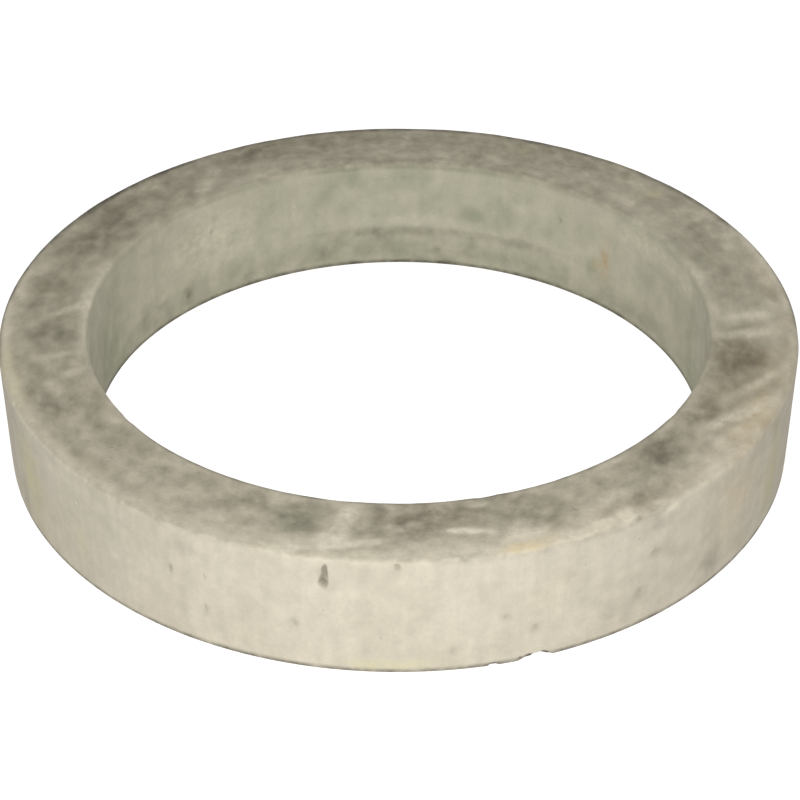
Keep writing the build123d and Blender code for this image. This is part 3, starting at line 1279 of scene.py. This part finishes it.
@dataclass(frozen=True)
class Studio:
    """A pale floor, soft light and a camera at the photograph's viewing angle.

    Attributes:
        aim_height: height of the point on the axis that the camera's place is measured from.
        elevation: how far the camera is above the horizon, seen from that point, in degrees.
        distance: from that point to the camera.
        pitch: how far down the camera looks, in degrees.
        yaw: how far it is turned to the right, in degrees.
        roll: how far it is turned about its own line of sight, in degrees.
        lens: focal length, in millimetres.
        sensor: width of the sensor, in millimetres.
        floor_size: length of the floor's sides.
        floor_gap: how far below the ring the floor lies, so that the two don't flicker.
        floor_bounce: the floor's colour as light on the object.
        floor_shadow: the floor's colour under its glow, where it is seen, which keeps the shadow.
        floor_glow: strength of that glow.
        white: colour of the glow and the surround.
        sky: strength of the surround as light on the object.
        key_power: power of the lamp on the camera's side, in watts.
        key_width: length of its sides.
        key_place: its middle.
        fill_power: power of the lamp behind the ring, in watts.
        fill_width: length of its sides.
        fill_place: its middle.
    """

    aim_height: float = 62.5 * MM
    elevation: float = 33.82
    distance: float = 2.294
    pitch: float = 34.63
    yaw: float = 0.037
    roll: float = -0.15
    lens: float = 104.8
    sensor: float = 36.0
    floor_size: float = 40.0
    floor_gap: float = 0.2 * MM
    floor_bounce: str = "E7E7E7"
    floor_shadow: str = "BCBCBC"
    floor_glow: float = 0.85
    white: str = "FFFFFF"
    sky: float = 0.29
    key_power: float = 32.5
    key_width: float = 0.6
    key_place: tuple[float, float, float] = (-0.08, -1.95, 1.45)
    fill_power: float = 20.0
    fill_width: float = 1.0
    fill_place: tuple[float, float, float] = (0.30, 2.40, 0.34)

    def build(self) -> None:
        """Makes the floor, the world, the two lamps and the camera."""
        self.floor()
        self.world()
        self.lamp("key", self.key_power, self.key_width, self.key_place)
        self.lamp("fill", self.fill_power, self.fill_width, self.fill_place)
        self.camera()

    def shown(self, tree: bpy.types.NodeTree) -> bpy.types.Node:
        """Adds nodes that tell where the camera, gloss or glass looks from light on the object.

        Args:
            tree: the node tree that they go into.

        Returns:
            The node that gives 1 for the first and 0 for the second.
        """
        path = add_node(tree, "ShaderNodeLightPath").outputs
        total = add_node(
            tree, "ShaderNodeMath", {"operation": "ADD"}, {0: path["Is Camera Ray"], 1: path["Is Glossy Ray"]}
        )
        return add_node(
            tree, "ShaderNodeMath", {"operation": "ADD", "use_clamp": True},
            {0: total, 1: path["Is Transmission Ray"]},
        )

    def floor(self) -> None:
        """A level floor that shows nearly white, keeps a faint shadow and bounces light like pale paint."""
        half = 0.5 * self.floor_size
        corners = np.array([(-half, -half), (half, -half), (half, half), (-half, half)])
        level = np.full((4, 1), -self.floor_gap)
        mesh = bpy.data.meshes.new("floor")
        mesh.from_pydata(np.hstack([corners, level]).tolist(), [], [(0, 1, 2, 3)])
        paint = bpy.data.materials.new("floor_white_matt_paint")
        paint.use_nodes = True
        tree = paint.node_tree
        tree.nodes.clear()
        bounce = add_node(tree, "ShaderNodeBsdfDiffuse", {}, {"Color": linear(self.floor_bounce)})
        shadow = add_node(tree, "ShaderNodeBsdfDiffuse", {}, {"Color": linear(self.floor_shadow)})
        glow = add_node(
            tree, "ShaderNodeEmission", {}, {"Color": linear(self.white), "Strength": self.floor_glow}
        )
        seen = add_node(tree, "ShaderNodeAddShader", {}, {0: shadow, 1: glow})
        shader = add_node(tree, "ShaderNodeMixShader", {}, {0: self.shown(tree), 1: bounce, 2: seen})
        add_node(tree, "ShaderNodeOutputMaterial", {}, {"Surface": shader})
        mesh.materials.append(paint)
        plane = bpy.data.objects.new("floor", mesh)
        bpy.context.scene.collection.objects.link(plane)

    def world(self) -> None:
        """An even white surround: full white where it is seen, and softer as light on the object."""
        world = bpy.data.worlds.new("studio")
        world.use_nodes = True
        tree = world.node_tree
        tree.nodes.clear()
        strength = add_node(
            tree, "ShaderNodeMapRange", {}, {0: self.shown(tree), 1: 0.0, 2: 1.0, 3: self.sky, 4: 1.0}
        )
        surround = add_node(
            tree, "ShaderNodeBackground", {}, {"Color": linear(self.white), "Strength": strength}
        )
        add_node(tree, "ShaderNodeOutputWorld", {}, {"Surface": surround})
        bpy.context.scene.world = world

    def lamp(self, name: str, power: float, width: float, place: tuple[float, float, float]) -> None:
        """A soft square light that is aimed at the ring and isn't seen itself.

        Args:
            name: its name.
            power: its power in watts.
            width: length of its sides.
            place: its middle.
        """
        light = bpy.data.lights.new(name, "AREA")
        light.energy = power
        light.size = width
        lamp = bpy.data.objects.new(name, light)
        aim = Vector((0.0, 0.0, self.aim_height)) - Vector(place)
        turn = aim.to_track_quat("-Z", "Y").to_matrix().to_4x4()
        lamp.matrix_world = Matrix.Translation(place) @ turn
        lamp.visible_camera = False
        bpy.context.scene.collection.objects.link(lamp)

    def camera(self) -> None:
        """A camera on -Y, placed by its elevation and distance, then turned by its pitch, yaw and roll."""
        rise, down, side = (math.radians(angle) for angle in (self.elevation, self.pitch, self.yaw))
        place = Vector((0.0, -math.cos(rise), math.sin(rise))) * self.distance
        place.z += self.aim_height
        sight = Vector((math.sin(side) * math.cos(down), math.cos(side) * math.cos(down), -math.sin(down)))
        turn = sight.to_track_quat("-Z", "Y").to_matrix().to_4x4()
        view = bpy.data.cameras.new("camera")
        view.lens = self.lens
        view.sensor_width = self.sensor
        camera = bpy.data.objects.new("camera", view)
        roll = Matrix.Rotation(math.radians(self.roll), 4, "Z")
        camera.matrix_world = Matrix.Translation(place) @ turn @ roll
        bpy.context.scene.collection.objects.link(camera)
        bpy.context.scene.camera = camera


def main() -> None:
    """Builds the ring and the studio."""
    logging.basicConfig(level=logging.INFO, format="%(name)s %(message)s")
    bore = next(mount for mount in frame["record"]["mounts"] if mount["name"] == "bore")
    bore_radius = bore["dims"]["r_mm"] * MM
    low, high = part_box(NODE)
    section = RingSection(bore_radius, high.z - low.z)
    ring = TopRing(section).build(CastConcrete().material())
    ring.data.calc_loop_triangles()
    LOG.info("%s: %d triangles", ring.name, len(ring.data.loop_triangles))
    Studio().build()
    bpy.context.scene.view_settings.view_transform = "Standard"


if __name__ == "__main__":
    main()
